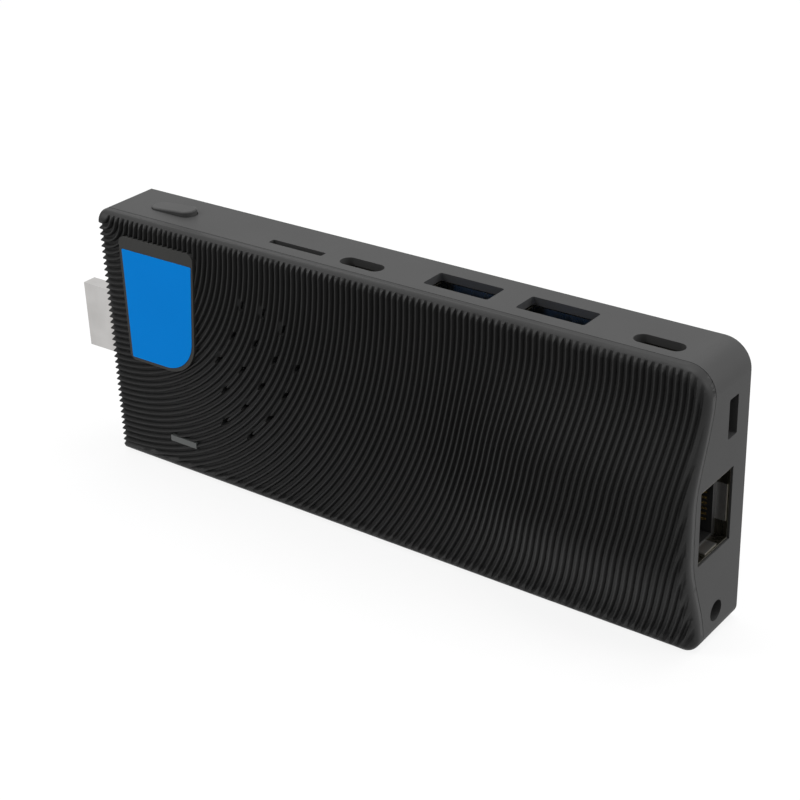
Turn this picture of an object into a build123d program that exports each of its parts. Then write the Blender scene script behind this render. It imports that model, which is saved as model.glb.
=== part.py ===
import math
import os

from build123d import *

os.makedirs("parts", exist_ok=True)

# A stick computer standing on its long narrow edge. X runs along its length, with the display
# plug at -X and the network socket at +X. The ribbed face looks towards -Y, and +Z is up, where
# most of the sockets are. The origin is on the face that it stands on.

# Driving dimensions, in millimetres.
body_length = 132.0
body_height = 52.5
flat_depth = 15.2
bulge_depth = 6.0
cover_depth = 3.0
shell_wall = 1.5
cover_wall = 1.8
top_right_radius = 5.0
bottom_right_radius = 2.5
rim_radius = 2.0
back_edge_radius = 0.15
seam_gap = 0.12
cut_overrun = 5.0

left, right = -body_length / 2, body_length / 2
back, front = flat_depth / 2, -flat_depth / 2
top = body_height
inner_left, inner_right = left + shell_wall, right - shell_wall
inner_top, inner_back = top - shell_wall, back - shell_wall
far_front = front - bulge_depth - cut_overrun


def along(share):
    # A place along X, as a share of the body's length from its left end.
    return left + share * body_length


def places(shares):
    # Places in the case's outline, as shares of its length and of its height.
    return [(along(across), up * body_height) for across, up in shares]


# The bulge over the network socket: how far from the right end it starts and is full, how much
# it falls back at that end, and how it rises from the bottom and falls to the top.
bulge_reach, bulge_full_reach = 58.0, 24.0
bulge_relief, bulge_relief_run = 1.0, 10.0
bulge_foot, bulge_rise, bulge_fall, bulge_top_gap = 1.2, 20.0, 19.0, 4.3
surface_columns, surface_rows = 41, 27
surface_tolerance = 0.01

# The lip of the front cover, which sits inside the rear shell.
lip_thickness, lip_height, lip_clearance = 1.0, 1.5, 0.1
lip_end_gap = 26.0
lip_end = right - lip_end_gap

# The main board, across the depth of the case.
board_thickness = 1.2
board_front = 0.7
board_left_gap, board_right_gap, board_bottom_gap, board_top_gap = 2.5, 2.0, 1.5, 2.3
board_left, board_right = inner_left + board_left_gap, inner_right - board_right_gap
board_bottom, board_top = shell_wall + board_bottom_gap, inner_top - board_top_gap
board_clearance = 0.3
board_back = board_front + board_thickness

# Screws: four hold the case together through the board, two hold the board alone.
screw_radius, screw_clearance = 1.0, 0.1
screw_head_radius, screw_head_height = 1.9, 1.4
screw_drive_radius, screw_drive_depth = 0.75, 0.8
case_screw_length, board_screw_length = 8.0, 4.0
case_post_radius, board_post_radius = 3.0, 1.9
head_recess_clearance = 0.15
head_recess_depth = 1.7
insert_radius, insert_length = 1.6, 3.0
insert_bore_clearance = 0.03
left_screw_gaps, left_screw_height_shares = [10.0, 23.0], [0.129, 0.848]
right_screw_shares = [(0.839, 0.848), (0.839, 0.146)]
board_screw_shares = [(0.521, 0.848), (0.636, 0.146)]
case_screw_places = [
    (left + gap, up * body_height) for gap, up in zip(left_screw_gaps, left_screw_height_shares)
] + places(right_screw_shares)
board_screw_places = places(board_screw_shares)

# The badge: a plate set into the front cover, with a coloured inlay set into the plate.
badge_left_gap, badge_top_gap = 5.15, 3.7
badge_top_width, badge_bottom_width, badge_height = 19.3, 17.1, 26.3
badge_left, badge_top = left + badge_left_gap, top - badge_top_gap
badge_corner, inlay_corner, badge_low_corner = 1.4, 0.25, 7.5
badge_thickness, badge_proud = 0.9, 0.2
badge_pocket_clearance = 0.05
inlay_top_border, inlay_side_border = 2.6, 0.65
inlay_thickness, inlay_proud = 0.3, 0.05

# Ribs run in rings about one centre near the top left corner, a rib to each pitch. The vents lie
# on four of the rings, each row from its first angle below +X.
ring_left_gap, ring_top_gap, rib_pitch = 2.6, 2.05, 1.263
ring_centre_x, ring_centre_z = left + ring_left_gap, top - ring_top_gap
vent_length, vent_width, vent_step = 2.2, 0.75, 7.35
vent_ring_numbers, vent_counts = [27, 31, 35, 39], [3, 4, 5, 4]
vent_first_angles = [16.0, 14.3, 15.6, 22.8]

# The indicator window, its light pipe and the lamp behind it.
pipe_left_gap, pipe_centre_z = 17.3, 7.05
pipe_centre_x = left + pipe_left_gap
pipe_length, pipe_height = 6.8, 1.25
pipe_flange, pipe_flange_thickness = 0.5, 0.8
pipe_stem_length = 3.0
lamp_size, lamp_height, lamp_gap = 1.2, 0.7, 0.1

# The power button and the switch under it.
button_left_gap, button_y = 12.35, 1.0
button_x = left + button_left_gap
button_length, button_width = 10.5, 3.8
button_low_rise, button_high_rise = 0.3, 1.1
button_edge_radius = 0.3
button_clearance = 0.15
button_flange, button_flange_thickness, button_flange_gap = 0.7, 0.8, 0.1
button_travel = 0.5
stem_length, stem_width, stem_y = 3.0, 1.6, -0.65
switch_length, switch_height, switch_depth = 6.0, 3.5, 3.2
switch_top_gap = 4.8
switch_top = inner_top - switch_top_gap
plunger_length, plunger_width, plunger_rise = 2.6, 1.4, 1.0
plunger_root, plunger_clearance = 1.2, 0.1

# The display plug at the left end, with its chamfered side to the back.
plug_y, plug_height_share = -0.7, 0.503
plug_z = plug_height_share * body_height
plug_width, plug_thickness, plug_straight = 13.9, 4.45, 3.0
plug_chamfer = 1.45
plug_reach, plug_tail = 11.5, 8.0
plug_wall = 0.35
plug_clearance = 0.15
plug_cavity = 6.5
plug_contact_width, plug_contact_thickness, plug_contact_pitch = 0.4, 0.2, 1.0
plug_contact_inset = 0.8
plug_ear = 2.0
plug_front_count, plug_back_count = 10, 9

# The two wide sockets in the top face.
usb_a_shares = [0.6083, 0.7534]
usb_a_places = [along(share) for share in usb_a_shares]
usb_a_y = 0.9
usb_a_opening_width, usb_a_opening_depth, usb_a_opening_radius = 13.5, 5.45, 0.5
usb_a_width, usb_a_depth, usb_a_length = 13.14, 5.72, 13.7
usb_a_wall = 0.3
usb_a_tongue_width, usb_a_tongue_thickness = 11.1, 1.9
usb_a_tongue_inset, usb_a_tongue_recess, usb_a_base = 0.55, 0.9, 3.5
usb_a_pad_width, usb_a_pad_thickness, usb_a_pad_pitch = 1.1, 0.15, 2.25
usb_a_pad_length, usb_a_pad_count = 6.0, 4
socket_ear, socket_ear_height = 1.2, 2.5
socket_recess = 0.1

# The two small oval sockets in the top face.
usb_c_shares = [0.451, 0.907]
usb_c_places = [along(share) for share in usb_c_shares]
usb_c_opening_width, usb_c_opening_depth = 9.25, 3.3
usb_c_width, usb_c_depth, usb_c_length = 8.94, 3.16, 7.35
usb_c_wall = 0.3
usb_c_tongue_width, usb_c_tongue_thickness, usb_c_tongue_recess = 6.7, 0.7, 0.5
usb_c_base = 1.6
usb_c_pad_width, usb_c_pad_pitch, usb_c_pad_thickness, usb_c_pad_length = 0.25, 0.5, 0.06, 3.6
usb_c_pad_count = 12
usb_c_y = board_front - usb_c_depth / 2

# The memory card socket, with a slider that moves in when a card is pushed.
card_share = 0.338
card_x = along(card_share)
card_slot_width, card_slot_depth, card_slot_y, card_slot_radius = 12.4, 1.55, -1.0, 0.3
card_width, card_length = 14.0, 14.5
card_base_thickness, card_side, card_cover_thickness = 0.9, 0.9, 0.2
card_front = -1.95
card_slider_width, card_slider_length, card_slider_travel = 1.5, 6.0, 1.2
card_spring_room = 3.4
card_running_gap = 0.05
card_contact_width, card_contact_pitch, card_contact_length = 0.6, 1.1, 4.0
card_contact_thickness, card_contact_count = 0.2, 8

# The network socket in the right end.
net_y, net_height_share = -2.48, 0.4756
net_z = net_height_share * body_height
net_depth, net_height, net_length = 10.7, 13.6, 17.7
net_opening_depth, net_opening_height = 10.95, 13.87
net_wall, net_recess = 0.3, 0.3
net_housing_recess = 2.3
net_cavity_depth, net_cavity_height, net_cavity_length = 7.6, 11.9, 13.0
net_cavity_back = 1.2
net_notch_height, net_notch_depth = 6.4, 1.1
net_contact_width, net_contact_thickness, net_contact_pitch = 0.45, 0.3, 1.02
net_contact_count, net_contact_run, net_contact_drop = 8, 9.0, 1.9
net_leaf_height, net_leaf_thickness, net_leaf_length = 7.0, 0.2, 4.0

# The audio socket, low in the right end.
jack_y, jack_z = -0.5, 5.65
jack_hole_radius, jack_bore_radius = 1.95, 1.8
jack_size, jack_length, jack_bore_length = 5.2, 12.0, 10.5
jack_nose_radius, jack_nose_length = 2.2, 1.2
jack_spring_width, jack_spring_length, jack_spring_thickness = 1.0, 3.0, 0.25
jack_spring_inset, jack_spring_pitch, jack_spring_count = 2.0, 4.0, 2

# The lock slot in the right end and the steel plate behind it.
lock_y, lock_top_gap = 1.9, 11.1
lock_z = top - lock_top_gap
lock_width, lock_height, lock_corner = 3.05, 7.2, 0.3
lock_plate_width, lock_plate_height, lock_plate_thickness = 6.8, 12.0, 1.2

# Chips and small parts on the board.
processor_share, processor_size = 0.364, 24.0
processor_thickness, processor_lid, processor_lid_height = 0.9, 16.0, 0.5
pad_size, pad_thickness = 20.0, 0.5
spreader_width, spreader_pipe_gap, spreader_top_gap = 48.0, 0.4, 3.4
spreader_thickness, fin_clearance, fin_thickness, fin_count = 1.2, 0.8, 0.8, 14
leg_radius, leg_inset = 1.9, 3.0
spreader_screw_depth = 3.0
memory_width, memory_height, chip_thickness = 10.0, 14.0, 0.9
memory_count, memory_pitch, memory_offset = 2, 12.0, 13.0
storage_width, storage_height = 11.5, 13.0
radio_width, radio_height, radio_thickness = 13.0, 15.0, 1.9
radio_wall = 0.2
antenna_length, antenna_height, antenna_thickness = 10.0, 5.0, 0.3
antenna_edge_gap, side_antenna_top_gap = 1.0, 10.8
low_antenna_share = 0.727
cell_share, cell_height_share, cell_radius, cell_thickness = 0.727, 0.429, 6.2, 2.0
holder_margin, holder_base, holder_rim = 1.2, 0.5, 1.6
transformer_width, transformer_height, transformer_thickness = 7.2, 12.8, 3.9
inductor_size, inductor_thickness, inductor_radius, inductor_count = 5.0, 2.6, 0.8, 3
capacitor_radius, capacitor_height, capacitor_z = 1.5, 3.2, 9.0
capacitor_pitch, capacitor_count = 4.2, 4
regulator_right_gap, regulator_z, regulator_size = 14.0, 13.7, 5.0
crystal_share, crystal_drop = 0.485, 1.9
crystal_width, crystal_height, crystal_thickness = 3.2, 2.5, 0.8


def around(centre, size):
    return (centre - size / 2, centre + size / 2)


def block(x, y, z):
    sizes = [abs(high - low) for low, high in (x, y, z)]
    middle = [(low + high) / 2 for low, high in (x, y, z)]
    return Pos(*middle) * Box(*sizes)


def rounded(solid, axis, radius):
    return fillet(solid.edges().filter_by(axis), radius)


def rod(axis, start, end, across, radius):
    # A round bar between two values on its axis; across holds its place on the other two axes.
    middle, length = (start + end) / 2, abs(end - start)
    if axis == Axis.X:
        return Pos(middle, *across) * Rot(0, 90, 0) * Cylinder(radius, length)
    if axis == Axis.Y:
        return Pos(across[0], middle, across[1]) * Rot(90, 0, 0) * Cylinder(radius, length)
    return Pos(*across, middle) * Cylinder(radius, length)


def oval(x, y, width, depth, bottom, height):
    return extrude(Pos(x, y, bottom) * SlotOverall(width, depth), height)


def smooth_step(share):
    share = min(1, max(0, share))
    return share * share * (3 - 2 * share)


def bulge_at(x, z):
    swell = smooth_step((x - (right - bulge_reach)) / (bulge_reach - bulge_full_reach))
    relief = smooth_step((x - (right - bulge_relief_run)) / bulge_relief_run)
    rise = smooth_step((z - bulge_foot) / bulge_rise)
    fall = smooth_step((top - bulge_top_gap - z) / bulge_fall)
    return (bulge_depth - bulge_relief * relief) * swell * rise * fall


def front_surface():
    rows = []
    for column in range(surface_columns):
        x = left - cut_overrun + (body_length + 2 * cut_overrun) * column / (surface_columns - 1)
        heights = [
            -cut_overrun + (body_height + 2 * cut_overrun) * row / (surface_rows - 1)
            for row in range(surface_rows)
        ]
        rows.append([Vector(x, front - bulge_at(x, z), z) for z in heights])
    return Face.make_surface_from_array_of_points(rows, tol=surface_tolerance)


FRONT = front_surface()


def behind(offset):
    # All the space behind the front surface, which is moved back by the offset.
    return Solid.extrude(FRONT.moved(Pos(0, offset, 0)), Vector(0, back - far_front + flat_depth, 0))


def case_outline(inset, y):
    # The outline of the case, drawn in by the inset: round at the right, square at the left.
    solid = block((left + inset, right - inset), y, (inset, top - inset))
    for height, radius in ((top, top_right_radius), (0, bottom_right_radius)):
        corner = min(
            solid.edges().filter_by(Axis.Y),
            key=lambda edge: abs(edge.center().X - right) + abs(edge.center().Z - height),
        )
        if radius > inset:
            solid = fillet(corner, radius - inset)
    return solid


def socket_cuts():
    through_top = (inner_top - cut_overrun, top + cut_overrun)
    through_end = (inner_right - cut_overrun, right + cut_overrun)
    cuts = []
    for x in usb_a_places:
        hole = block(
            around(x, usb_a_opening_width), around(usb_a_y, usb_a_opening_depth), through_top
        )
        cuts.append(rounded(hole, Axis.Z, usb_a_opening_radius))
    for x in usb_c_places:
        cuts.append(
            oval(
                x, usb_c_y, usb_c_opening_width, usb_c_opening_depth,
                inner_top - cut_overrun, shell_wall + 2 * cut_overrun,
            )
        )
    slot = block(around(card_x, card_slot_width), around(card_slot_y, card_slot_depth), through_top)
    cuts.append(rounded(slot, Axis.Z, card_slot_radius))
    cuts.append(
        oval(
            button_x, button_y, button_length + 2 * button_clearance,
            button_width + 2 * button_clearance,
            inner_top - cut_overrun, shell_wall + 2 * cut_overrun,
        )
    )
    lock = block(through_end, around(lock_y, lock_width), around(lock_z, lock_height))
    cuts.append(rounded(lock, Axis.X, lock_corner))
    cuts.append(jack_hole())
    cuts.append(network_opening())
    cuts.append(plug_section(plug_clearance, left - cut_overrun, inner_left + cut_overrun))
    return cuts


def jack_hole():
    return rod(
        Axis.X, inner_right - cut_overrun, right + cut_overrun, (jack_y, jack_z), jack_hole_radius
    )


def network_opening():
    return block(
        (inner_right - cut_overrun, right + cut_overrun),
        around(net_y, net_opening_depth), around(net_z, net_opening_height),
    )



def screw_post(place, radius, start, end):
    return rod(Axis.Y, start, end, place, radius)


def rear_shell():
    shell = case_outline(0, (back, far_front)) & behind(cover_depth + seam_gap)
    shell = fillet(shell.faces().sort_by(Axis.Y)[-1].edges(), back_edge_radius)
    shell -= case_outline(shell_wall, (inner_back, far_front - cut_overrun))
    for place in case_screw_places:
        shell += screw_post(place, case_post_radius, board_back, inner_back + shell_wall / 2)
    for place in board_screw_places:
        shell += screw_post(place, board_post_radius, board_back, inner_back + shell_wall / 2)
    for place in case_screw_places:
        recess = screw_head_radius + head_recess_clearance
        shell -= screw_post(place, recess, back - head_recess_depth, back + cut_overrun)
        shell -= screw_post(
            place, screw_radius + screw_clearance, board_back - cut_overrun, back + cut_overrun
        )
    for place in board_screw_places:
        shell -= screw_post(
            place, screw_radius, board_back - cut_overrun, board_front + board_screw_length
        )
    for cut in socket_cuts():
        shell -= cut
    return shell


def vent_cuts():
    cuts = []
    for ring, first_angle, count in zip(vent_ring_numbers, vent_first_angles, vent_counts):
        radius = ring * rib_pitch
        for number in range(count):
            angle = first_angle + math.degrees(vent_step / radius) * number
            x = ring_centre_x + radius * math.cos(math.radians(angle))
            z = ring_centre_z - radius * math.sin(math.radians(angle))
            slot = Box(vent_width, cover_wall + 2 * cut_overrun, vent_length)
            cuts.append(Pos(x, front, z) * Rot(0, angle, 0) * slot)
    return cuts


def corner_edges(plate):
    # The edges through an upright plate at its corners, from the top left to the bottom right.
    return plate.edges().filter_by(Axis.Y).sort_by(lambda edge: edge.center().X - edge.center().Z)


def badge_outline(inset, top_inset, y, corner):
    bottom = badge_top - badge_height
    points = [
        (badge_left + inset, bottom + inset),
        (badge_left + inset, badge_top - top_inset),
        (badge_left + badge_top_width - inset, badge_top - top_inset),
        (badge_left + badge_bottom_width - inset, bottom + inset),
    ]
    wire = Polyline([(x, y[0], z) for x, z in points], close=True)
    plate = extrude(make_face(wire), abs(y[1] - y[0]), dir=(0, math.copysign(1, y[1] - y[0]), 0))
    plate = fillet(corner_edges(plate)[-1], badge_low_corner)
    return fillet(corner_edges(plate)[:3], corner)


def front_cover():
    cover = (case_outline(0, (back, far_front)) & behind(0)) - behind(cover_depth)
    face = min(cover.faces().filter_by(GeomType.BSPLINE), key=lambda item: item.center().Y)
    side_edge = face.edges().sort_by(Axis.X)[0]
    cover = fillet([edge for edge in face.edges() if edge != side_edge], rim_radius)
    cover -= case_outline(shell_wall, (back, far_front - cut_overrun)) & behind(cover_wall)
    lip_outer = case_outline(
        shell_wall + lip_clearance, (front + cover_depth + lip_height, front + cover_wall / 2)
    )
    lip_inner = case_outline(
        shell_wall + lip_clearance + lip_thickness, (back, far_front)
    )
    lip_span = block((left, lip_end), (back, front), (0, top))
    cover += (lip_outer - lip_inner) & lip_span
    for place in case_screw_places:
        boss = screw_post(place, case_post_radius, board_front, far_front) & behind(cover_wall / 2)
        cover += boss
        cover -= screw_post(
            place, insert_radius, board_front + cut_overrun, board_front - insert_length
        )
    for cut in vent_cuts():
        cover -= cut
    cover -= badge_outline(
        -badge_pocket_clearance, -badge_pocket_clearance,
        (front - cut_overrun, front - badge_proud + badge_thickness), badge_corner,
    )
    cover -= block(
        around(pipe_centre_x, pipe_length + 2 * badge_pocket_clearance),
        around(front, 2 * (cover_wall + cut_overrun)),
        around(pipe_centre_z, pipe_height + 2 * badge_pocket_clearance),
    )
    socket = block(
        (lip_end, right), around(net_y, net_opening_depth), around(net_z, net_opening_height)
    )
    return cover - socket


def badge_plate():
    face_y = front - badge_proud
    plate = badge_outline(0, 0, (face_y, face_y + badge_thickness), badge_corner)
    return plate - badge_outline(
        inlay_side_border - badge_pocket_clearance, inlay_top_border - badge_pocket_clearance,
        (face_y - cut_overrun, face_y - inlay_proud + inlay_thickness), inlay_corner,
    )


def badge_inlay():
    face_y = front - badge_proud - inlay_proud
    return badge_outline(
        inlay_side_border, inlay_top_border, (face_y, face_y + inlay_thickness), inlay_corner
    )


def light_pipe():
    behind_wall = front + cover_wall
    pipe = block(
        around(pipe_centre_x, pipe_length), (front, behind_wall), around(pipe_centre_z, pipe_height)
    )
    pipe += block(
        around(pipe_centre_x, pipe_length + 2 * pipe_flange),
        (behind_wall, behind_wall + pipe_flange_thickness),
        around(pipe_centre_z, pipe_height + 2 * pipe_flange),
    )
    stem_end = board_front - lamp_height - lamp_gap
    pipe += block(
        around(pipe_centre_x, pipe_stem_length),
        (behind_wall + pipe_flange_thickness, stem_end),
        around(pipe_centre_z, pipe_height),
    )
    return pipe


def indicator_lamp():
    return on_board(pipe_centre_x, pipe_centre_z, lamp_size, lamp_size, lamp_height)


def processor_place():
    return along(processor_share), (spreader_bottom() + spreader_top()) / 2


def spreader_bottom():
    return pipe_centre_z + pipe_height / 2 + pipe_flange + spreader_pipe_gap


def spreader_top():
    return card_bottom() - spreader_top_gap


def chip_height():
    # The height of the middle of the chips beside the processor, under the sockets.
    return (board_bottom + card_bottom()) / 2 + board_bottom_gap


def right_hand_places():
    # The radio, the coils and the transformer share the room between spreader and network socket.
    start = along(processor_share) + spreader_width / 2
    widths = [radio_width, inductor_size, transformer_width]
    gap = (net_rear() - start - sum(widths)) / (len(widths) + 1)
    middles = []
    for width in widths:
        middles.append(start + gap + width / 2)
        start += gap + width
    return middles


def on_board(x, z, width, height, thickness):
    return block(around(x, width), (board_front - thickness, board_front), around(z, height))


def under_board(x, z, width, height, thickness):
    return block(around(x, width), (board_back, board_back + thickness), around(z, height))


def power_button():
    flange_top = inner_top - button_flange_gap
    flange_bottom = flange_top - button_flange_thickness
    cap = oval(
        button_x, button_y, button_length, button_width, flange_bottom,
        top + button_high_rise - flange_bottom,
    )
    tilt = math.degrees(math.atan((button_high_rise - button_low_rise) / button_length))
    over = Box(2 * button_length, 2 * button_width, button_length)
    cap -= (
        Pos(button_x, button_y, top + (button_low_rise + button_high_rise) / 2)
        * Rot(0, -tilt, 0) * Pos(0, 0, button_length / 2) * over
    )
    rim = cap.faces().sort_by(Axis.Z)[-1].edges()
    cap = fillet(rim, button_edge_radius)
    cap += oval(
        button_x, button_y, button_length + 2 * button_flange, button_width + 2 * button_flange,
        flange_bottom, button_flange_thickness,
    )
    cap += block(
        around(button_x, stem_length), around(stem_y, stem_width),
        (switch_top + plunger_rise, flange_bottom),
    )
    return cap


def switch_y():
    return board_front - switch_depth / 2


def switch_plunger():
    return block(
        around(button_x, plunger_length), around(switch_y(), plunger_width),
        (switch_top - plunger_root, switch_top + plunger_rise),
    )


def switch_body():
    body = block(
        around(button_x, switch_length), around(switch_y(), switch_depth),
        (switch_top - switch_height, switch_top),
    )
    well = block(
        around(button_x, plunger_length + 2 * plunger_clearance),
        around(switch_y(), plunger_width + 2 * plunger_clearance),
        (switch_top - plunger_root - button_travel - plunger_clearance, switch_top + cut_overrun),
    )
    return body - well


def main_board():
    board = block(
        (board_left, board_right), (board_front, board_back), (board_bottom, board_top)
    )
    through = (board_front - cut_overrun, board_back + cut_overrun)
    for x in usb_a_places:
        bottom = socket_mouth() - usb_a_length - board_clearance
        board -= block(
            around(x, usb_a_width + 2 * board_clearance), through, (bottom, top)
        )
    board -= block(
        (net_rear() - board_clearance, right), through,
        around(net_z, net_height + 2 * board_clearance),
    )
    board -= block(
        (inner_right - jack_length - board_clearance, right), through,
        (0, jack_z + jack_size / 2 + board_clearance),
    )
    board -= block(
        (inner_right - lock_plate_thickness - lock_width, right), through,
        around(lock_z, lock_plate_height + 2 * board_clearance),
    )
    board -= block(
        (left, left + plug_tail + board_clearance), through,
        around(plug_z, plug_width + 2 * board_clearance),
    )
    for place in case_screw_places + board_screw_places:
        board -= screw_post(place, screw_radius + screw_clearance, *through)
    for place in leg_places():
        board -= screw_post(place, screw_radius + screw_clearance, *through)
    return board


def socket_mouth():
    return inner_top - socket_recess


def plug_section(grow, start, end):
    # The plug's outline, six-sided, with both corners of its back side cut away.
    half, cut = plug_width / 2 + grow, plug_chamfer
    y_front, y_back = plug_y - plug_thickness / 2 - grow, plug_y + plug_thickness / 2 + grow
    y_straight = y_front + plug_straight + 2 * grow
    points = [
        (y_front, plug_z - half), (y_front, plug_z + half), (y_straight, plug_z + half),
        (y_back, plug_z + half - cut), (y_back, plug_z - half + cut), (y_straight, plug_z - half),
    ]
    wire = Polyline([(start, y, z) for y, z in points], close=True)
    return extrude(make_face(wire), abs(end - start), dir=(math.copysign(1, end - start), 0, 0))


def plug_shell():
    tip, tail = left - plug_reach, left + plug_tail
    shell = plug_section(0, tip, tail) - plug_section(-plug_wall, tip - cut_overrun, tail)
    shell += plug_section(0, tail - plug_wall, tail)
    for side in (-1, 1):
        edge = plug_z + side * plug_width / 2
        shell += block(
            (board_left + board_clearance, tail - board_clearance),
            (plug_y - plug_thickness / 2 + plug_straight - plug_wall, board_front),
            (edge, edge + side * plug_ear),
        )
    return shell


def plug_insulator():
    tip, tail = left - plug_reach, left + plug_tail
    start = tip + plug_cavity
    body = plug_section(-plug_wall, start, tail - plug_wall)
    return body - plug_contact_row(0, True) - plug_contact_row(0, False)


def plug_contact_row(grow, at_front):
    # One row of strips, each held in the insulator and lying along the inner side of the shell.
    tip, tail = left - plug_reach, left + plug_tail
    count = plug_front_count if at_front else plug_back_count
    if at_front:
        y_low = plug_y - plug_thickness / 2 + plug_wall + plug_contact_inset
    else:
        y_low = plug_y + plug_thickness / 2 - plug_wall - plug_contact_inset - plug_contact_thickness
    strips = []
    for number in range(count):
        z = plug_z + (number - (count - 1) / 2) * plug_contact_pitch
        strips.append(
            block(
                (tip + plug_contact_pitch, tail - plug_wall - plug_contact_pitch),
                (y_low, y_low + plug_contact_thickness), around(z, plug_contact_width + grow),
            )
        )
    return strips


def plug_contacts():
    return Compound(children=plug_contact_row(0, True) + plug_contact_row(0, False))


def usb_a_span(x, inset):
    return (
        around(x, usb_a_width - 2 * inset), around(usb_a_y, usb_a_depth - 2 * inset),
        (socket_mouth() - usb_a_length + inset, socket_mouth()),
    )


def usb_a_shell(x):
    shell = block(*usb_a_span(x, 0))
    x_inner, y_inner, z_inner = usb_a_span(x, usb_a_wall)
    shell -= block(x_inner, y_inner, (z_inner[0], z_inner[1] + cut_overrun))
    bottom = socket_mouth() - usb_a_length
    for side in (-1, 1):
        edge = x + side * usb_a_width / 2
        shell += block(
            (edge, edge + side * socket_ear), (board_front - usb_a_wall, board_front),
            (bottom + socket_ear_height, bottom + 2 * socket_ear_height),
        )
    return shell


def usb_a_tongue_y():
    return usb_a_y - usb_a_depth / 2 + usb_a_wall + usb_a_tongue_inset


def usb_a_insulator(x):
    x_inner, y_inner, z_inner = usb_a_span(x, usb_a_wall)
    base = block(x_inner, y_inner, (z_inner[0], z_inner[0] + usb_a_base))
    low = usb_a_tongue_y()
    base += block(
        around(x, usb_a_tongue_width), (low, low + usb_a_tongue_thickness),
        (z_inner[0], socket_mouth() - usb_a_tongue_recess),
    )
    return base


def usb_a_contacts(x):
    low = usb_a_tongue_y() + usb_a_tongue_thickness
    end = socket_mouth() - usb_a_tongue_recess - usb_a_pad_width
    pads = []
    for number in range(usb_a_pad_count):
        pad_x = x + (number - (usb_a_pad_count - 1) / 2) * usb_a_pad_pitch
        pads.append(
            block(
                around(pad_x, usb_a_pad_width), (low, low + usb_a_pad_thickness),
                (end - usb_a_pad_length, end),
            )
        )
    return Compound(children=pads)


def usb_c_shell(x):
    bottom = socket_mouth() - usb_c_length
    shell = oval(x, usb_c_y, usb_c_width, usb_c_depth, bottom, usb_c_length)
    return shell - oval(
        x, usb_c_y, usb_c_width - 2 * usb_c_wall, usb_c_depth - 2 * usb_c_wall,
        bottom, usb_c_length + cut_overrun,
    )


def usb_c_insulator(x):
    bottom = socket_mouth() - usb_c_length
    base = oval(
        x, usb_c_y, usb_c_width - 2 * usb_c_wall, usb_c_depth - 2 * usb_c_wall, bottom, usb_c_base
    )
    base += block(
        around(x, usb_c_tongue_width), around(usb_c_y, usb_c_tongue_thickness),
        (bottom + usb_c_base / 2, socket_mouth() - usb_c_tongue_recess),
    )
    return base


def usb_c_contacts(x):
    end = socket_mouth() - usb_c_tongue_recess - usb_c_pad_pitch
    pads = []
    for side in (-1, 1):
        face_y = usb_c_y + side * usb_c_tongue_thickness / 2
        for number in range(usb_c_pad_count):
            pad_x = x + (number - (usb_c_pad_count - 1) / 2) * usb_c_pad_pitch
            pads.append(
                block(
                    around(pad_x, usb_c_pad_width),
                    sorted((face_y, face_y + side * usb_c_pad_thickness)),
                    (end - usb_c_pad_length, end),
                )
            )
    return Compound(children=pads)


def card_bottom():
    return socket_mouth() - card_length


def card_base():
    base = block(
        around(card_x, card_width), (card_front + card_cover_thickness, board_front),
        (card_bottom(), socket_mouth()),
    )
    return base - block(
        around(card_x, card_width - 2 * card_side),
        (card_front - cut_overrun, board_front - card_base_thickness),
        (card_bottom() + card_side, socket_mouth() + cut_overrun),
    )


def card_cover():
    return block(
        around(card_x, card_width), (card_front, card_front + card_cover_thickness),
        (card_bottom(), socket_mouth()),
    )


def card_slider():
    edge = card_x + card_width / 2 - card_side - card_running_gap
    low = card_bottom() + card_side + card_spring_room + card_slider_travel
    return block(
        (edge - card_slider_width, edge),
        (
            card_front + card_cover_thickness + card_running_gap,
            board_front - card_base_thickness - card_running_gap,
        ),
        (low, low + card_slider_length),
    )


def card_contacts():
    strips = []
    start = card_bottom() + card_side
    for number in range(card_contact_count):
        x = card_x - card_slider_width / 2
        x += (number - (card_contact_count - 1) / 2) * card_contact_pitch
        face_y = board_front - card_base_thickness
        strips.append(
            block(
                around(x, card_contact_width), (face_y - card_contact_thickness, face_y),
                (start, start + card_contact_length),
            )
        )
    return Compound(children=strips)


def net_front():
    return right - net_recess


def net_rear():
    return net_front() - net_length


def network_shield():
    shield = block(
        (net_rear(), net_front()), around(net_y, net_depth), around(net_z, net_height)
    )
    shield -= block(
        (net_rear() + net_wall, net_front() + cut_overrun),
        around(net_y, net_depth - 2 * net_wall), around(net_z, net_height - 2 * net_wall),
    )
    return shield


def net_housing_front():
    return net_front() - net_housing_recess


def net_contact_y():
    return net_y + net_depth / 2 - net_wall - net_cavity_back


def network_housing():
    housing = block(
        (net_rear() + net_wall, net_housing_front()),
        around(net_y, net_depth - 2 * net_wall), around(net_z, net_height - 2 * net_wall),
    )
    cavity = (net_housing_front() - net_cavity_length, net_housing_front() + cut_overrun)
    high = net_contact_y()
    housing -= block(
        cavity, (high - net_cavity_depth, high), around(net_z, net_cavity_height)
    )
    low = high - net_cavity_depth
    return housing - block(
        cavity, (low - net_notch_depth, low + net_wall), around(net_z, net_notch_height)
    )


def network_contacts():
    high = net_contact_y()
    start = net_housing_front() - net_contact_pitch
    wires = []
    for number in range(net_contact_count):
        z = net_z + (number - (net_contact_count - 1) / 2) * net_contact_pitch
        points = [
            (start, high), (start - net_contact_run, high - net_contact_drop),
            (start - net_contact_run, high - net_contact_drop + net_contact_thickness),
            (start - 2 * net_contact_thickness, high),
        ]
        low_z = z - net_contact_width / 2
        wire = Polyline([(x, y, low_z) for x, y in points], close=True)
        wires.append(extrude(make_face(wire), net_contact_width, dir=(0, 0, 1)))
    return Compound(children=wires)


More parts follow.
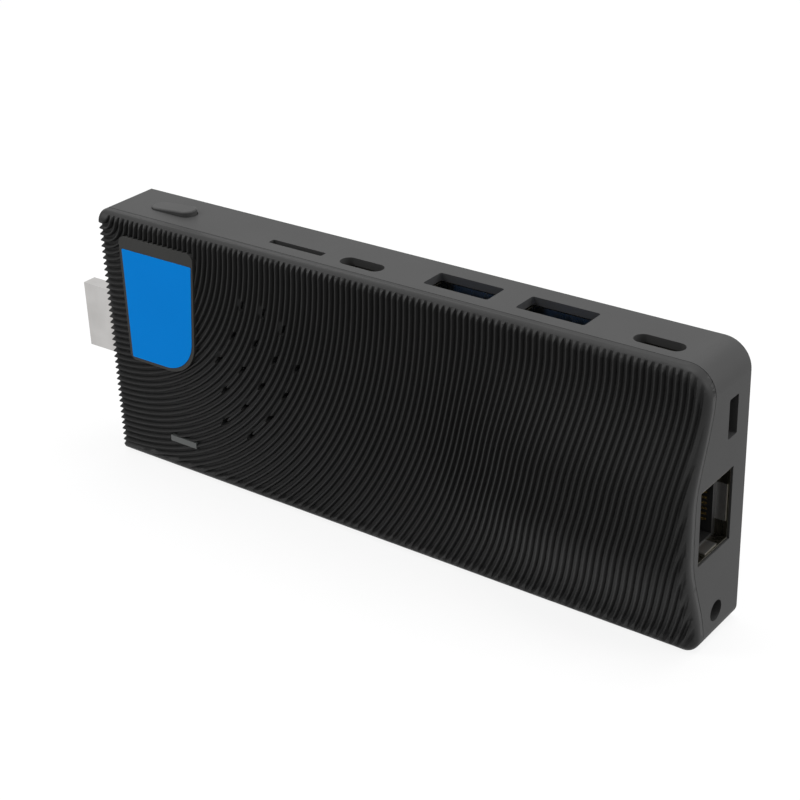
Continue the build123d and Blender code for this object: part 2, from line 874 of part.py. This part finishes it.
def network_springs():
    # Two earthing leaves inside the mouth of the shield, on its back side and on its bottom.
    inner_y = net_y + net_depth / 2 - net_wall
    inner_z = net_z - net_height / 2 + net_wall
    depth = (net_housing_front(), net_front() - net_wall)
    side = block(
        depth, (inner_y - net_leaf_thickness, inner_y), around(net_z, net_leaf_height)
    )
    low = block(
        depth, around(net_y, net_leaf_length), (inner_z, inner_z + net_leaf_thickness)
    )
    return Compound(children=[side, low])


def audio_jack():
    start = inner_right - jack_length
    shoulder = inner_right - jack_nose_length
    body = block((start, shoulder), around(jack_y, jack_size), around(jack_z, jack_size))
    body += rod(Axis.X, start, inner_right, (jack_y, jack_z), jack_nose_radius)
    body -= rod(
        Axis.X, inner_right - jack_bore_length, inner_right + cut_overrun, (jack_y, jack_z),
        jack_bore_radius,
    )
    for spring in jack_spring_blocks():
        body -= spring
    return body


def jack_spring_blocks():
    springs = []
    low = jack_z + jack_bore_radius + jack_spring_thickness / 2
    for number in range(jack_spring_count):
        x = inner_right - jack_spring_inset - number * jack_spring_pitch
        springs.append(
            block(
                (x - jack_spring_length, x), around(jack_y, jack_spring_width),
                (low, low + jack_spring_thickness),
            )
        )
    return springs


def lock_plate():
    plate = block(
        (inner_right - lock_plate_thickness, inner_right),
        around(lock_y, lock_plate_width), around(lock_z, lock_plate_height),
    )
    slot = block(
        (inner_right - cut_overrun, right), around(lock_y, lock_width),
        around(lock_z, lock_height),
    )
    return plate - rounded(slot, Axis.X, lock_corner)


def processor_front():
    return board_front - processor_thickness - processor_lid_height


def processor():
    x, z = processor_place()
    package = on_board(x, z, processor_size, processor_size, processor_thickness)
    return package + on_board(
        x, z, processor_lid, processor_lid, processor_thickness + processor_lid_height
    )


def thermal_pad():
    face_y = processor_front()
    x, z = processor_place()
    return block(around(x, pad_size), (face_y - pad_thickness, face_y), around(z, pad_size))


def leg_places():
    middle = along(processor_share)
    reach = spreader_width / 2 - leg_inset
    return [
        (x, z)
        for x in (middle - reach, middle + reach)
        for z in (spreader_bottom() + leg_inset, spreader_top() - leg_inset)
    ]


def heat_spreader():
    high = processor_front() - pad_thickness
    low = high - spreader_thickness
    middle = along(processor_share)
    height = (spreader_bottom(), spreader_top())
    spreader = block(around(middle, spreader_width), (low, high), height)
    run = spreader_width - fin_thickness
    for number in range(fin_count):
        x = middle + run * (number / (fin_count - 1) - 1 / 2)
        spreader += block(
            around(x, fin_thickness), (front + cover_wall + fin_clearance, low), height
        )
    for place in leg_places():
        spreader += screw_post(place, leg_radius, board_front, high)
        spreader -= screw_post(
            place, screw_radius, board_front + cut_overrun, board_front - spreader_screw_depth
        )
    return spreader


def screw(place, seat, length, direction):
    # A pan-head screw: its head's underside is at the seat, and its shank runs along direction.
    head_end = seat - direction * screw_head_height
    body = screw_post(place, screw_head_radius, seat, head_end)
    body += screw_post(place, screw_radius, seat, seat + direction * length)
    drive = screw_post(
        place, screw_drive_radius, head_end - direction * cut_overrun,
        head_end + direction * screw_drive_depth,
    )
    return body - drive


def case_screws():
    seat = back - head_recess_depth
    return Compound(children=[screw(place, seat, case_screw_length, -1) for place in case_screw_places])


def board_screws():
    return Compound(
        children=[screw(place, board_front, board_screw_length, 1) for place in board_screw_places]
    )


def spreader_screws():
    length = board_thickness + spreader_screw_depth - screw_clearance
    return Compound(children=[screw(place, board_back, length, -1) for place in leg_places()])


def cover_inserts():
    inserts = []
    for place in case_screw_places:
        insert = screw_post(place, insert_radius, board_front - insert_length, board_front)
        inserts.append(
            insert
            - screw_post(
                place, screw_radius + insert_bore_clearance, board_front - insert_length - cut_overrun,
                board_front + cut_overrun,
            )
        )
    return Compound(children=inserts)


def memory_chip(number):
    x = along(processor_share) - memory_offset + number * memory_pitch
    return under_board(x, chip_height(), memory_width, memory_height, chip_thickness)


def storage_chip():
    x = along(processor_share) + memory_offset
    return under_board(x, chip_height(), storage_width, storage_height, chip_thickness)


def radio_board():
    return on_board(
        right_hand_places()[0], chip_height(), radio_width, radio_height, chip_thickness
    )


def radio_shield():
    x, z, rim = right_hand_places()[0], chip_height(), 2 * radio_wall
    can = block(
        around(x, radio_width - rim),
        (board_front - radio_thickness, board_front - chip_thickness),
        around(z, radio_height - rim),
    )
    return can - block(
        around(x, radio_width - 2 * rim), (board_front - radio_thickness + radio_wall, board_front),
        around(z, radio_height - 2 * rim),
    )


def low_antenna():
    return on_board(
        along(low_antenna_share), board_bottom + antenna_edge_gap,
        antenna_length, antenna_thickness, antenna_height,
    )


def side_antenna():
    return on_board(
        board_left + antenna_edge_gap, top - side_antenna_top_gap,
        antenna_thickness, antenna_length, antenna_height,
    )


def cell_place():
    return along(cell_share), cell_height_share * body_height


def cell_holder():
    outer = 2 * (cell_radius + holder_margin)
    holder = under_board(*cell_place(), outer, outer, holder_base + holder_rim)
    return holder - rod(
        Axis.Y, board_back + holder_base, back, cell_place(), cell_radius + card_running_gap
    )


def clock_cell():
    start = board_back + holder_base
    return rod(Axis.Y, start, start + cell_thickness, cell_place(), cell_radius)


def network_transformer():
    return on_board(
        right_hand_places()[2], chip_height(),
        transformer_width, transformer_height, transformer_thickness,
    )


def power_inductors():
    # The coils stand in a column, evenly spread between the capacitors and the wide sockets.
    low, high = capacitor_z + capacitor_radius, socket_mouth() - usb_a_length
    gap = (high - low - inductor_count * inductor_size) / (inductor_count + 1)
    coils = []
    for number in range(inductor_count):
        z = low + gap + inductor_size / 2 + number * (gap + inductor_size)
        coil = on_board(
            right_hand_places()[1], z, inductor_size, inductor_size, inductor_thickness
        )
        coils.append(rounded(coil, Axis.Y, inductor_radius))
    return Compound(children=coils)


def power_capacitors():
    # A row midway between the two low screws on the right.
    cans = []
    middle = (board_screw_places[-1][0] + case_screw_places[-1][0]) / 2
    for number in range(capacitor_count):
        x = middle + (number - (capacitor_count - 1) / 2) * capacitor_pitch
        cans.append(
            screw_post((x, capacitor_z), capacitor_radius, board_front - capacitor_height, board_front)
        )
    return Compound(children=cans)


def power_regulator():
    return on_board(
        right - regulator_right_gap, regulator_z, regulator_size, regulator_size, chip_thickness
    )


def clock_crystal():
    return on_board(
        along(crystal_share), spreader_top() + crystal_drop,
        crystal_width, crystal_height, crystal_thickness,
    )


pieces = {
    "rear_shell": rear_shell(),
    "front_cover": front_cover(),
    "badge_plate": badge_plate(),
    "badge_inlay": badge_inlay(),
    "light_pipe": light_pipe(),
    "indicator_lamp": indicator_lamp(),
    "power_button": power_button(),
    "switch_plunger": switch_plunger(),
    "switch_body": switch_body(),
    "main_board": main_board(),
    "display_plug_shell": plug_shell(),
    "display_plug_insulator": plug_insulator(),
    "display_plug_contacts": plug_contacts(),
    "card_socket_base": card_base(),
    "card_socket_cover": card_cover(),
    "card_socket_contacts": card_contacts(),
    "card_slider": card_slider(),
    "network_shield": network_shield(),
    "network_housing": network_housing(),
    "network_contacts": network_contacts(),
    "network_springs": network_springs(),
    "network_transformer": network_transformer(),
    "audio_jack": audio_jack(),
    "audio_jack_springs": Compound(children=jack_spring_blocks()),
    "lock_plate": lock_plate(),
    "processor": processor(),
    "thermal_pad": thermal_pad(),
    "heat_spreader": heat_spreader(),
    "storage_chip": storage_chip(),
    "radio_board": radio_board(),
    "radio_shield": radio_shield(),
    "low_antenna": low_antenna(),
    "side_antenna": side_antenna(),
    "cell_holder": cell_holder(),
    "clock_cell": clock_cell(),
    "power_inductors": power_inductors(),
    "power_capacitors": power_capacitors(),
    "power_regulator": power_regulator(),
    "clock_crystal": clock_crystal(),
    "cover_inserts": cover_inserts(),
    "case_screws": case_screws(),
    "board_screws": board_screws(),
    "spreader_screws": spreader_screws(),
}
for number, x in enumerate(usb_a_places, start=1):
    pieces[f"wide_socket_{number}_shell"] = usb_a_shell(x)
    pieces[f"wide_socket_{number}_insulator"] = usb_a_insulator(x)
    pieces[f"wide_socket_{number}_contacts"] = usb_a_contacts(x)
for number, x in enumerate(usb_c_places, start=1):
    pieces[f"oval_socket_{number}_shell"] = usb_c_shell(x)
    pieces[f"oval_socket_{number}_insulator"] = usb_c_insulator(x)
    pieces[f"oval_socket_{number}_contacts"] = usb_c_contacts(x)
for number in range(memory_count):
    pieces[f"memory_chip_{number + 1}"] = memory_chip(number)

for name, piece in pieces.items():
    export_step(piece, f"parts/{name}.step")
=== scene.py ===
import math

import bpy
import numpy as np
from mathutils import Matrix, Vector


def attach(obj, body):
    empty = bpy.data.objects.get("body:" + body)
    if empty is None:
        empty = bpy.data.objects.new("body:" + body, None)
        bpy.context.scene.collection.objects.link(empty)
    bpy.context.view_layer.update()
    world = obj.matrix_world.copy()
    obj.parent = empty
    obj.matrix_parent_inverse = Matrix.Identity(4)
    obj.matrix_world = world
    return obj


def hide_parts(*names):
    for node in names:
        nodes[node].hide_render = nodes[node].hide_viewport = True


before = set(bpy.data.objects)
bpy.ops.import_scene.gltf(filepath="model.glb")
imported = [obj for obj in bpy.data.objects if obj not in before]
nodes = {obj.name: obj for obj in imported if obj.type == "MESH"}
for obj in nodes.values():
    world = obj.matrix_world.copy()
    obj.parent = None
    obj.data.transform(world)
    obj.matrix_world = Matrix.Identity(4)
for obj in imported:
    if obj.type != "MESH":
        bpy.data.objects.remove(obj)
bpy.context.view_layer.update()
print("frame loaded:", len(nodes), "nodes")

mm = 0.001
scene = bpy.context.scene
scene.view_settings.view_transform = "Standard"


def deselectAll():
    if bpy.context.object and bpy.context.object.mode != "OBJECT":
        bpy.ops.object.mode_set(mode="OBJECT")
    bpy.ops.object.select_all(action="DESELECT")


def makeActive(piece):
    deselectAll()
    piece.select_set(True)
    bpy.context.view_layer.objects.active = piece


# Camera, at the place that the photograph was taken from.
cameraSet = {
    "place": (0.178557, -0.232144, 0.176582),
    "turn": (62.89378, 1.83487, 36.58524),
    "lens": 80.87,
    "sensor": 36,
    "nearest": 0.01,
    "farthest": 20,
}


def addCamera():
    data = bpy.data.cameras.new("photoCamera")
    data.lens = cameraSet["lens"]
    data.sensor_width = cameraSet["sensor"]
    data.clip_start, data.clip_end = cameraSet["nearest"], cameraSet["farthest"]
    camera = bpy.data.objects.new("photoCamera", data)
    camera.location = cameraSet["place"]
    camera.rotation_euler = [math.radians(angle) for angle in cameraSet["turn"]]
    scene.collection.objects.link(camera)
    scene.camera = camera


# Studio: a soft world, three soft lamps and a floor. The floor is pale for the camera, and gives little
# light back to the object.
studio = {
    "ambient": 0.55,
    "backdrop": 1.0,
    "floorSize": 4.0,
    "floorColour": (0.82, 0.82, 0.82, 1),
    "floorBounce": (0.16, 0.16, 0.16, 1),
    "floorGlow": 0.86,
    "lampAim": (0, 0, 0.025),
    "lamps": {
        "topLamp": {"place": (0.02, 0.16, 0.80), "size": 0.60, "power": 4.7},
        "endLamp": {"place": (0.72, 0.22, 0.36), "size": 0.50, "power": 3.0},
        "frontLamp": {"place": (-0.45, -0.42, 0.50), "size": 0.35, "power": 2.3},
    },
}


def seenRays(tree):
    # One where a camera, a glossy or a transmission ray looks, so metal and glass show the backdrop
    # too.
    path = tree.nodes.new("ShaderNodeLightPath")
    either = tree.nodes.new("ShaderNodeMath")
    either.operation = "MAXIMUM"
    tree.links.new(path.outputs["Is Camera Ray"], either.inputs[0])
    tree.links.new(path.outputs["Is Glossy Ray"], either.inputs[1])
    anyRay = tree.nodes.new("ShaderNodeMath")
    anyRay.operation = "MAXIMUM"
    tree.links.new(either.outputs[0], anyRay.inputs[0])
    tree.links.new(path.outputs["Is Transmission Ray"], anyRay.inputs[1])
    return anyRay.outputs[0]


def addStudio():
    world = bpy.data.worlds.new("studioWorld")
    scene.world = world
    world.use_nodes = True
    tree = world.node_tree
    tree.nodes.clear()
    out = tree.nodes.new("ShaderNodeOutputWorld")
    lit = tree.nodes.new("ShaderNodeBackground")
    lit.inputs["Strength"].default_value = studio["ambient"]
    lit.inputs["Color"].default_value = (1, 1, 1, 1)
    backdrop = tree.nodes.new("ShaderNodeBackground")
    backdrop.inputs["Strength"].default_value = studio["backdrop"]
    backdrop.inputs["Color"].default_value = (1, 1, 1, 1)
    mix = tree.nodes.new("ShaderNodeMixShader")
    tree.links.new(seenRays(tree), mix.inputs[0])
    tree.links.new(lit.outputs[0], mix.inputs[1])
    tree.links.new(backdrop.outputs[0], mix.inputs[2])
    tree.links.new(mix.outputs[0], out.inputs["Surface"])

    bpy.ops.mesh.primitive_plane_add(size=studio["floorSize"], location=(0, 0, 0))
    floor = bpy.context.object
    floor.name = "studioFloor"
    material = bpy.data.materials.new("studioFloor")
    material.use_nodes = True
    tree = material.node_tree
    tree.nodes.clear()
    out = tree.nodes.new("ShaderNodeOutputMaterial")
    matt = tree.nodes.new("ShaderNodeBsdfDiffuse")
    matt.inputs["Color"].default_value = studio["floorColour"]
    dull = tree.nodes.new("ShaderNodeBsdfDiffuse")
    dull.inputs["Color"].default_value = studio["floorBounce"]
    glow = tree.nodes.new("ShaderNodeEmission")
    glow.inputs["Color"].default_value = (1, 1, 1, 1)
    pale = tree.nodes.new("ShaderNodeMixShader")
    pale.inputs[0].default_value = studio["floorGlow"]
    tree.links.new(matt.outputs[0], pale.inputs[1])
    tree.links.new(glow.outputs[0], pale.inputs[2])
    mix = tree.nodes.new("ShaderNodeMixShader")
    tree.links.new(seenRays(tree), mix.inputs[0])
    tree.links.new(dull.outputs[0], mix.inputs[1])
    tree.links.new(pale.outputs[0], mix.inputs[2])
    tree.links.new(mix.outputs[0], out.inputs["Surface"])
    floor.data.materials.append(material)

    for name, lamp in studio["lamps"].items():
        data = bpy.data.lights.new(name, "AREA")
        data.shape = "DISK"
        data.size = lamp["size"]
        data.energy = lamp["power"]
        light = bpy.data.objects.new(name, data)
        light.location = lamp["place"]
        aim = Vector(studio["lampAim"]) - light.location
        light.rotation_euler = aim.to_track_quat("-Z", "Y").to_euler()
        scene.collection.objects.link(light)


addCamera()
addStudio()
print("camera and studio ready")


# Finishes. Each look gives two shades that a broad noise runs between, a grain for the bump, and a
# range of roughness. A stretch draws the grain out along one axis, as on rolled or brushed metal.
noiseForm = {"mottleDetail": 3, "grainDetail": 2, "darkEnd": 0.35, "paleEnd": 0.65}
looks = {
    "case": {"shades": ((0.038, 0.038, 0.038), (0.042, 0.042, 0.042)), "mottle": 60, "grain": 5200,
             "bump": 0.10, "depth": 0.00002, "rough": (0.48, 0.60), "specular": 0.20},
    "cover": {"shades": ((0.022, 0.022, 0.022), (0.026, 0.026, 0.026)), "mottle": 60, "grain": 5200,
              "bump": 0.08, "depth": 0.00002, "rough": (0.42, 0.54), "specular": 0.14},
    "badge": {"shades": ((0.052, 0.052, 0.050), (0.057, 0.057, 0.055)), "mottle": 80, "grain": 6000,
              "bump": 0.05, "depth": 0.00001, "rough": (0.46, 0.54), "specular": 0.08},
    "inlay": {"shades": ((0.002, 0.275, 0.88), (0.002, 0.285, 0.91)), "mottle": 40, "grain": 3000,
              "bump": 0.02, "depth": 0.00001, "rough": (0.40, 0.48), "specular": 0.04},
    "clear": {"shades": ((0.075, 0.080, 0.078), (0.095, 0.10, 0.098)), "mottle": 90, "grain": 4000,
              "bump": 0.02, "depth": 0.00001, "rough": (0.18, 0.26), "specular": 0.50},
    "steel": {"shades": ((0.44, 0.43, 0.42), (0.52, 0.51, 0.50)), "mottle": 120, "grain": 900,
              "bump": 0.04, "depth": 0.00001, "rough": (0.30, 0.38), "metal": 1.0,
              "stretch": (0.06, 1, 1)},
    # Steel with painted reflection and shade: its dark olive base colour stands in for what steel walls
    # reflect, and the shade they lie in, deep in a socket's recess.
    "dark_steel": {"shades": ((0.10, 0.095, 0.075), (0.17, 0.16, 0.13)), "mottle": 160, "grain": 1200,
                   "bump": 0.05, "depth": 0.00001, "rough": (0.22, 0.34), "metal": 1.0,
                   "stretch": (1, 1, 0.08)},
    "gold": {"shades": ((0.78, 0.52, 0.16), (0.90, 0.66, 0.26)), "mottle": 400, "grain": 3000,
             "bump": 0.03, "depth": 0.00001, "rough": (0.20, 0.30), "metal": 1.0},
    "black_plastic": {"shades": ((0.010, 0.010, 0.010), (0.016, 0.016, 0.016)), "mottle": 200, "grain": 5000,
                      "bump": 0.06, "depth": 0.00002, "rough": (0.42, 0.55), "specular": 0.35},
    "blue_plastic": {"shades": ((0.06, 0.16, 0.46), (0.09, 0.21, 0.55)), "mottle": 200, "grain": 5000,
                     "bump": 0.04, "depth": 0.00002, "rough": (0.30, 0.42), "specular": 0.45},
    "chip": {"shades": ((0.014, 0.014, 0.016), (0.022, 0.022, 0.024)), "mottle": 500, "grain": 9000,
             "bump": 0.10, "depth": 0.00002, "rough": (0.50, 0.62), "specular": 0.35},
    "aluminium": {"shades": ((0.66, 0.67, 0.68), (0.76, 0.77, 0.78)), "mottle": 90, "grain": 1500,
                  "bump": 0.06, "depth": 0.00001, "rough": (0.32, 0.44), "metal": 1.0,
                  "stretch": (0.05, 1, 1)},
    "pad": {"shades": ((0.26, 0.32, 0.42), (0.31, 0.37, 0.48)), "mottle": 300, "grain": 2500,
            "bump": 0.12, "depth": 0.00003, "rough": (0.75, 0.88), "specular": 0.25},
    "brass": {"shades": ((0.62, 0.42, 0.13), (0.74, 0.53, 0.19)), "mottle": 300, "grain": 2200,
              "bump": 0.05, "depth": 0.00001, "rough": (0.24, 0.36), "metal": 1.0},
    "lamp": {"shades": ((0.82, 0.80, 0.66), (0.90, 0.88, 0.74)), "mottle": 300, "grain": 2500,
             "bump": 0.03, "depth": 0.00001, "rough": (0.25, 0.35), "specular": 0.5},
}


def finish(name, look):
    material = bpy.data.materials.new(name)
    material.use_nodes = True
    tree = material.node_tree
    shader = tree.nodes["Principled BSDF"]
    shader.inputs["Metallic"].default_value = look.get("metal", 0)
    shader.inputs["Specular IOR Level"].default_value = look.get("specular", 0.5)
    place = tree.nodes.new("ShaderNodeTexCoord")
    stretch = tree.nodes.new("ShaderNodeMapping")
    stretch.inputs["Scale"].default_value = look.get("stretch", (1, 1, 1))
    tree.links.new(place.outputs["Object"], stretch.inputs["Vector"])

    mottle = tree.nodes.new("ShaderNodeTexNoise")
    mottle.inputs["Scale"].default_value = look["mottle"]
    mottle.inputs["Detail"].default_value = noiseForm["mottleDetail"]
    tree.links.new(place.outputs["Object"], mottle.inputs["Vector"])
    grain = tree.nodes.new("ShaderNodeTexNoise")
    grain.inputs["Scale"].default_value = look["grain"]
    grain.inputs["Detail"].default_value = noiseForm["grainDetail"]
    tree.links.new(stretch.outputs["Vector"], grain.inputs["Vector"])

    shades = tree.nodes.new("ShaderNodeValToRGB")
    shades.color_ramp.elements[0].position = noiseForm["darkEnd"]
    shades.color_ramp.elements[1].position = noiseForm["paleEnd"]
    for element, shade in zip(shades.color_ramp.elements, look["shades"]):
        element.color = (*shade, 1)
    tree.links.new(mottle.outputs["Fac"], shades.inputs["Fac"])
    tree.links.new(shades.outputs["Color"], shader.inputs["Base Color"])

    rough = tree.nodes.new("ShaderNodeMapRange")
    rough.inputs["To Min"].default_value, rough.inputs["To Max"].default_value = look["rough"]
    tree.links.new(grain.outputs["Fac"], rough.inputs["Value"])
    tree.links.new(rough.outputs["Result"], shader.inputs["Roughness"])

    bump = tree.nodes.new("ShaderNodeBump")
    bump.inputs["Strength"].default_value = look["bump"]
    bump.inputs["Distance"].default_value = look["depth"]
    tree.links.new(grain.outputs["Fac"], bump.inputs["Height"])
    tree.links.new(bump.outputs["Normal"], shader.inputs["Normal"])
    return material


boardLook = {
    "shades": ((0.006, 0.045, 0.022), (0.010, 0.065, 0.034)), "mottle": 250, "grain": 4000,
    "bump": 0.05, "depth": 0.00001, "rough": (0.28, 0.38), "specular": 0.5,
    "tracks": (0.03, 0.14, 0.07, 1), "trackScale": 160, "trackWidth": 0.03, "turn": (90, 0, 0),
}


def boardLacquer():
    # Green lacquer over copper tracks: a brick pattern for the tracks, and noise for the lacquer's
    # depth.
    material = finish("board", boardLook)
    tree = material.node_tree
    shader = tree.nodes["Principled BSDF"]
    place = tree.nodes.new("ShaderNodeTexCoord")
    turn = tree.nodes.new("ShaderNodeMapping")
    turn.inputs["Rotation"].default_value = [math.radians(angle) for angle in boardLook["turn"]]
    tracks = tree.nodes.new("ShaderNodeTexBrick")
    tracks.inputs["Scale"].default_value = boardLook["trackScale"]
    tracks.inputs["Mortar Size"].default_value = boardLook["trackWidth"]
    tree.links.new(place.outputs["Object"], turn.inputs["Vector"])
    tree.links.new(turn.outputs["Vector"], tracks.inputs["Vector"])
    plain = shader.inputs["Base Color"].links[0].from_socket
    mix = tree.nodes.new("ShaderNodeMix")
    mix.data_type = "RGBA"
    mix.inputs["B"].default_value = boardLook["tracks"]
    tree.links.new(tracks.outputs["Fac"], mix.inputs["Factor"])
    tree.links.new(plain, mix.inputs["A"])
    tree.links.new(mix.outputs["Result"], shader.inputs["Base Color"])
    return material


finishes = {name: finish(name, look) for name, look in looks.items()}
finishes["board"] = boardLacquer()
print("finishes ready:", len(finishes))

# Which finish each CAD node takes.
nodeFinishes = {
    "case": ["rear_shell", "power_button"],
    "cover": ["front_cover"],
    "badge": ["badge_plate"],
    "inlay": ["badge_inlay"],
    "clear": ["light_pipe"],
    "steel": ["display_plug_shell", "card_socket_cover", "radio_shield", "lock_plate", "clock_cell",
              "clock_crystal", "low_antenna", "side_antenna", "network_springs", "board_screws",
              "spreader_screws"],
    # These steel parts take the steel whose colour carries painted reflection and shade.
    "dark_steel": ["network_shield", "wide_socket_1_shell", "wide_socket_2_shell", "oval_socket_1_shell",
                   "oval_socket_2_shell", "switch_body", "case_screws"],
    "gold": ["display_plug_contacts", "card_socket_contacts", "network_contacts", "audio_jack_springs",
             "wide_socket_1_contacts", "wide_socket_2_contacts", "oval_socket_1_contacts",
             "oval_socket_2_contacts"],
    "black_plastic": ["switch_plunger", "display_plug_insulator", "card_socket_base", "card_slider",
                      "cell_holder", "network_housing", "audio_jack", "oval_socket_1_insulator",
                      "oval_socket_2_insulator"],
    "blue_plastic": ["wide_socket_1_insulator", "wide_socket_2_insulator"],
    "board": ["main_board", "radio_board"],
    "chip": ["processor", "storage_chip", "memory_chip_1", "memory_chip_2", "network_transformer",
             "power_regulator", "power_inductors"],
    "aluminium": ["heat_spreader", "power_capacitors"],
    "pad": ["thermal_pad"],
    "brass": ["cover_inserts"],
    "lamp": ["indicator_lamp"],
}

finished = set()
for finishName, members in nodeFinishes.items():
    finished.update(members)
    for member in members:
        slots = nodes[member].data.materials
        slots.clear()
        slots.append(finishes[finishName])
print("nodes with no finish:", sorted(set(nodes) - finished))

# The ribbed front cover. Ribs lie on rings about one centre near the top left corner. A tool with
# the grooves' form is made as a grid along the rings, laid over the cover's bulge, and cut from the
# cover.
caseForm = {
    "left": -66.0, "right": 66.0, "top": 52.5, "front": -7.6,
    "bulge": 6.0, "bulgeReach": 58.0, "bulgeFull": 24.0, "relief": 1.0, "reliefRun": 10.0,
    "foot": 1.2, "rise": 20.0, "fall": 19.0, "topGap": 4.3,
}
ribs = {
    "centre": (-65.44, 51.65), "pitch": 1.2582, "count": 114,
    "crestHalf": 0.07, "edgeHalf": 0.12, "floorHalf": 0.32,
    "crestInset": 0.03, "edgeInset": 0.12, "depth": 0.82, "clear": 0.10, "firstShift": 0.04,
    "columns": 104, "topReach": 2.2, "leftOver": 0.8,
    "endStart": 0.9, "endRun": 1.7, "toolFront": -24.0,
    "steepest": 0.9, "extrude": -0.001, "merge": 1e-6, "smoothAngle": 32,
}


def smoothStep(share):
    share = np.clip(share, 0, 1)
    return share * share * (3 - 2 * share)


def bulgeAt(x, z):
    form = caseForm
    swell = smoothStep((x - (form["right"] - form["bulgeReach"])) / (form["bulgeReach"] - form["bulgeFull"]))
    relief = smoothStep((x - (form["right"] - form["reliefRun"])) / form["reliefRun"])
    rise = smoothStep((z - form["foot"]) / form["rise"])
    fall = smoothStep((form["top"] - form["topGap"] - z) / form["fall"])
    return (form["bulge"] - form["relief"] * relief) * swell * rise * fall


def ribRows():
    # The profile along a radius: its places in pitches, and how deep each lies under the surface.
    crest, edge, floor = ribs["crestHalf"], ribs["edgeHalf"], ribs["floorHalf"]
    rows = [(1 + crest - ribs["firstShift"], -ribs["clear"])]
    for number in range(1, ribs["count"]):
        if number > 1:
            rows += [(number - crest, ribs["crestInset"])]
        rows += [
            (number + crest, ribs["crestInset"]), (number + edge, ribs["edgeInset"]),
            (number + floor, ribs["depth"]), (number + 1 - floor, ribs["depth"]),
            (number + 1 - edge, ribs["edgeInset"]),
        ]
    rows += [(ribs["count"] - crest, ribs["crestInset"]), (ribs["count"], -ribs["clear"])]
    return rows


def ribAngles(radius):
    # Even steps from over the top edge to past the left side.
    reach = ribs["centre"][0] - caseForm["left"] + ribs["leftOver"]
    start = math.asin(min(ribs["steepest"], ribs["topReach"] / radius))
    end = -math.acos(max(-1, -reach / radius))
    return np.linspace(start, end, ribs["columns"])


def addRibTool():
    rows = ribRows()
    radii = np.array([place * ribs["pitch"] for place, depth in rows])
    depths = np.array([depth for place, depth in rows])
    angles = np.array([ribAngles(radius) for radius in radii])
    columns = angles.shape[1]
    x = ribs["centre"][0] + radii[:, None] * np.cos(angles)
    z = ribs["centre"][1] + radii[:, None] * np.sin(angles)
    lift = (1 - smoothStep((z - ribs["endStart"]) / ribs["endRun"])) * (ribs["depth"] + ribs["clear"])
    y = caseForm["front"] - bulgeAt(x, z) + depths[:, None] - lift

    bpy.ops.mesh.primitive_grid_add(x_subdivisions=columns - 1, y_subdivisions=len(rows) - 1, size=1)
    tool = bpy.context.object
    tool.name = "ribTool"
    mesh = tool.data
    flat = np.zeros(len(mesh.vertices) * 3)
    mesh.vertices.foreach_get("co", flat)
    flat = flat.reshape(-1, 3)
    column = np.rint((flat[:, 0] + 0.5) * (columns - 1)).astype(int)
    row = np.rint((flat[:, 1] + 0.5) * (len(rows) - 1)).astype(int)
    placed = np.stack([x[row, column], y[row, column], z[row, column]], axis=1) * mm
    mesh.vertices.foreach_set("co", placed.ravel())
    mesh.update()

    makeActive(tool)
    bpy.ops.object.mode_set(mode="EDIT")
    bpy.ops.mesh.select_all(action="SELECT")
    bpy.ops.mesh.extrude_region_move(TRANSFORM_OT_translate={"value": (0, ribs["extrude"], 0)})
    bpy.ops.object.mode_set(mode="OBJECT")
    front = [vertex for vertex in mesh.vertices if vertex.select]
    for vertex in front:
        vertex.co.y = ribs["toolFront"] * mm
    bpy.ops.object.mode_set(mode="EDIT")
    bpy.ops.mesh.select_all(action="SELECT")
    bpy.ops.mesh.normals_make_consistent(inside=False)
    bpy.ops.object.mode_set(mode="OBJECT")
    return tool


def mergedCopy(nodeName, pieceName):
    source = nodes[nodeName]
    mesh = source.data.copy()
    piece = bpy.data.objects.new(pieceName, mesh)
    scene.collection.objects.link(piece)
    makeActive(piece)
    bpy.ops.object.mode_set(mode="EDIT")
    bpy.ops.mesh.select_all(action="SELECT")
    bpy.ops.mesh.remove_doubles(threshold=ribs["merge"])
    bpy.ops.object.mode_set(mode="OBJECT")
    return piece


def addRibbedCover():
    # The grooves are cut into a copy of the cover, which then takes the node's place.
    cover = mergedCopy("front_cover", "ribbedCover")
    tool = addRibTool()
    makeActive(cover)
    cut = cover.modifiers.new("grooves", "BOOLEAN")
    cut.operation = "DIFFERENCE"
    cut.solver = "MANIFOLD"
    cut.object = tool
    before = len(cover.data.polygons)
    bpy.ops.object.modifier_apply(modifier="grooves")
    after = len(cover.data.polygons)
    print("cover faces:", before, "tool faces:", len(tool.data.polygons), "cut faces:", after)
    bpy.data.objects.remove(tool)
    makeActive(cover)
    bpy.ops.object.shade_smooth_by_angle(angle=math.radians(ribs["smoothAngle"]))
    cover.data.materials.clear()
    cover.data.materials.append(finishes["cover"])
    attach(cover, "case")
    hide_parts("front_cover")


addRibbedCover()
print("ribbed cover cut")
